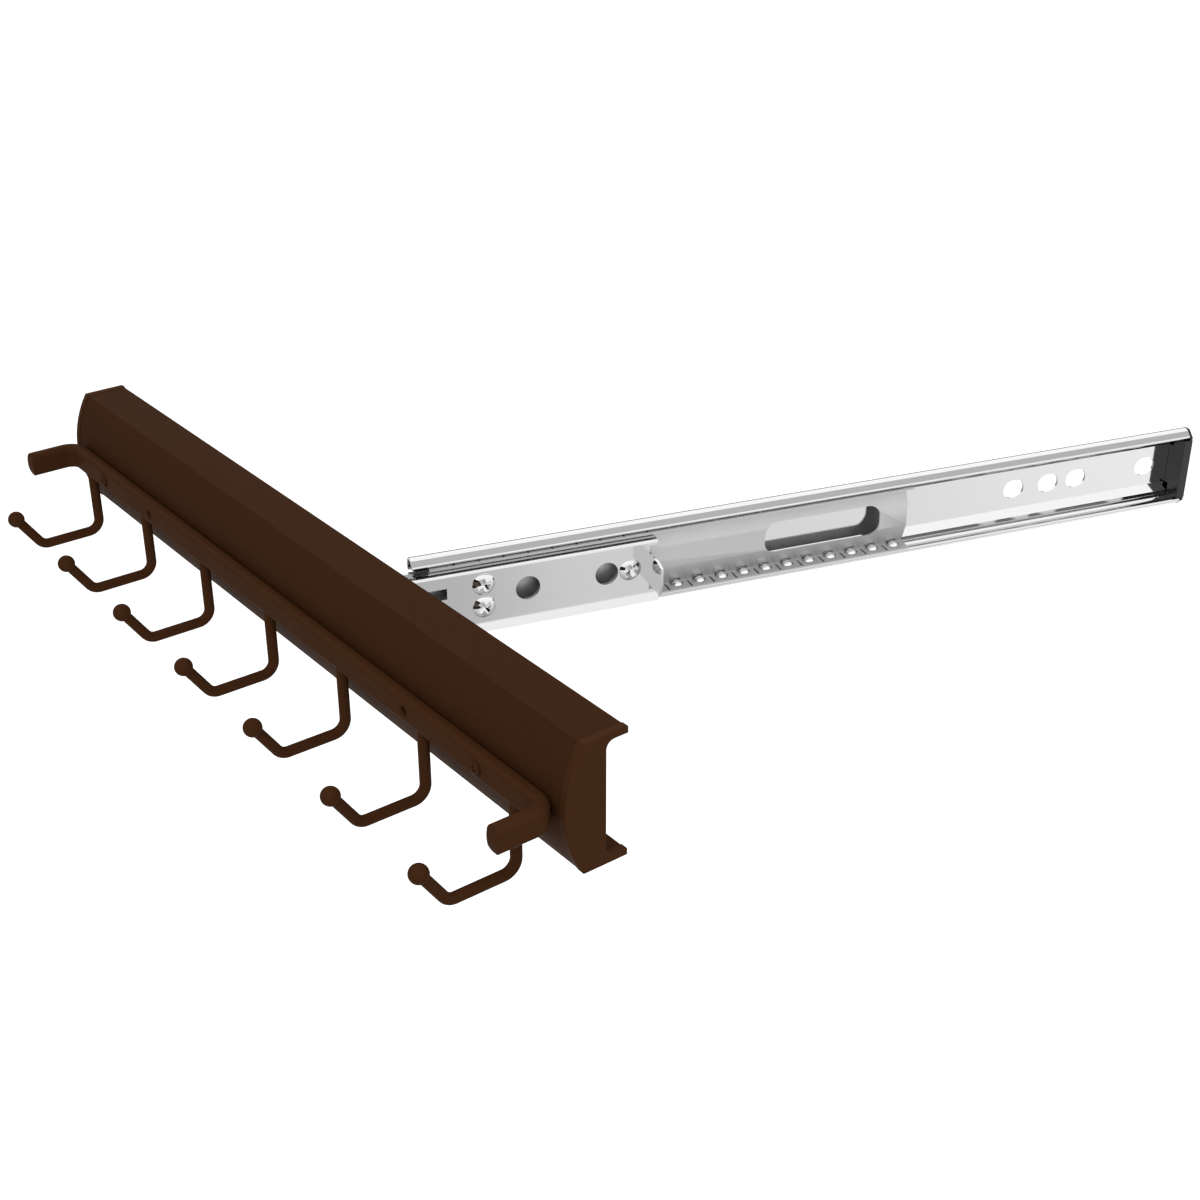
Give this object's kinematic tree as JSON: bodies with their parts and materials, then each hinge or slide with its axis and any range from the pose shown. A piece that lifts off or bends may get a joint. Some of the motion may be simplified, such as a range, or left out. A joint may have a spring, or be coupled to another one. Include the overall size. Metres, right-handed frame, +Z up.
{
  "type": "swivel belt rack",
  "caption": "Pull-out belt rack: a bowed bar with ball-tipped hooks swivels on a hinge carried by a ball-bearing slide that screws to a cabinet side.",
  "frame": {"origin": "on the back face of the slide's channel, on its centre line, midway between its two front fixing slots", "axes": "+X out from the cabinet side, +Y along the slide to the back of the cabinet, +Z up"},
  "size_m": [0.3469, 0.4649, 0.0547],
  "materials": {
    "bright_steel": "bright zinc plate",
    "ball_steel": "polished",
    "black_plastic": "moulded",
    "white_plastic": "moulded",
    "hinge_steel": "satin",
    "bronze_bar": "satin powder coat",
    "bronze_cap": "satin",
    "bronze_hooks": "satin powder coat"
  },
  "bodies": {
    "cabinet": {"channel": "bright_steel", "rear_stop": "black_plastic", "upper_front_stop": "black_plastic", "lower_front_stop": "black_plastic"},
    "cage": {"ball_cage": "bright_steel", "upper_balls": "ball_steel", "lower_balls": "ball_steel"},
    "carriage": {"carriage": "bright_steel", "hinge_strap": "bright_steel", "front_carriage_screws": "bright_steel", "rear_carriage_screw": "bright_steel"},
    "rack": {"hinge_pin": "bright_steel", "hinge_washers": "white_plastic", "bar_hinge_leaf": "hinge_steel", "leaf_screws": "hinge_steel", "bar_profile": "bronze_bar", "near_end_cap": "bronze_cap", "far_end_cap": "bronze_cap", "hook_rail": "bronze_hooks", "rail_screws": "bronze_hooks", "hook_1": "bronze_hooks", "hook_2": "bronze_hooks", "hook_3": "bronze_hooks", "hook_4": "bronze_hooks", "hook_5": "bronze_hooks", "hook_6": "bronze_hooks", "hook_7": "bronze_hooks"}
  },
  "joints": [
    {"name": "slide_travel", "type": "slide", "parent": "cabinet", "child": "carriage", "axis": [0, 1, 0], "range_m": [0, 0.0175]},
    {"name": "cage_travel", "type": "slide", "parent": "cabinet", "child": "cage", "axis": [0, 1, 0], "range_m": [0, 0.00875]},
    {"name": "swivel", "type": "hinge", "parent": "carriage", "child": "rack", "pos_m": [0.0213, -0.0615, 0], "axis": [0, 0, 1], "range_deg": [-16.5, 73.5]}
  ],
  "couplings": [
    {"joint": "cage_travel", "follows": "slide_travel", "ratio": 0.5}
  ]
}
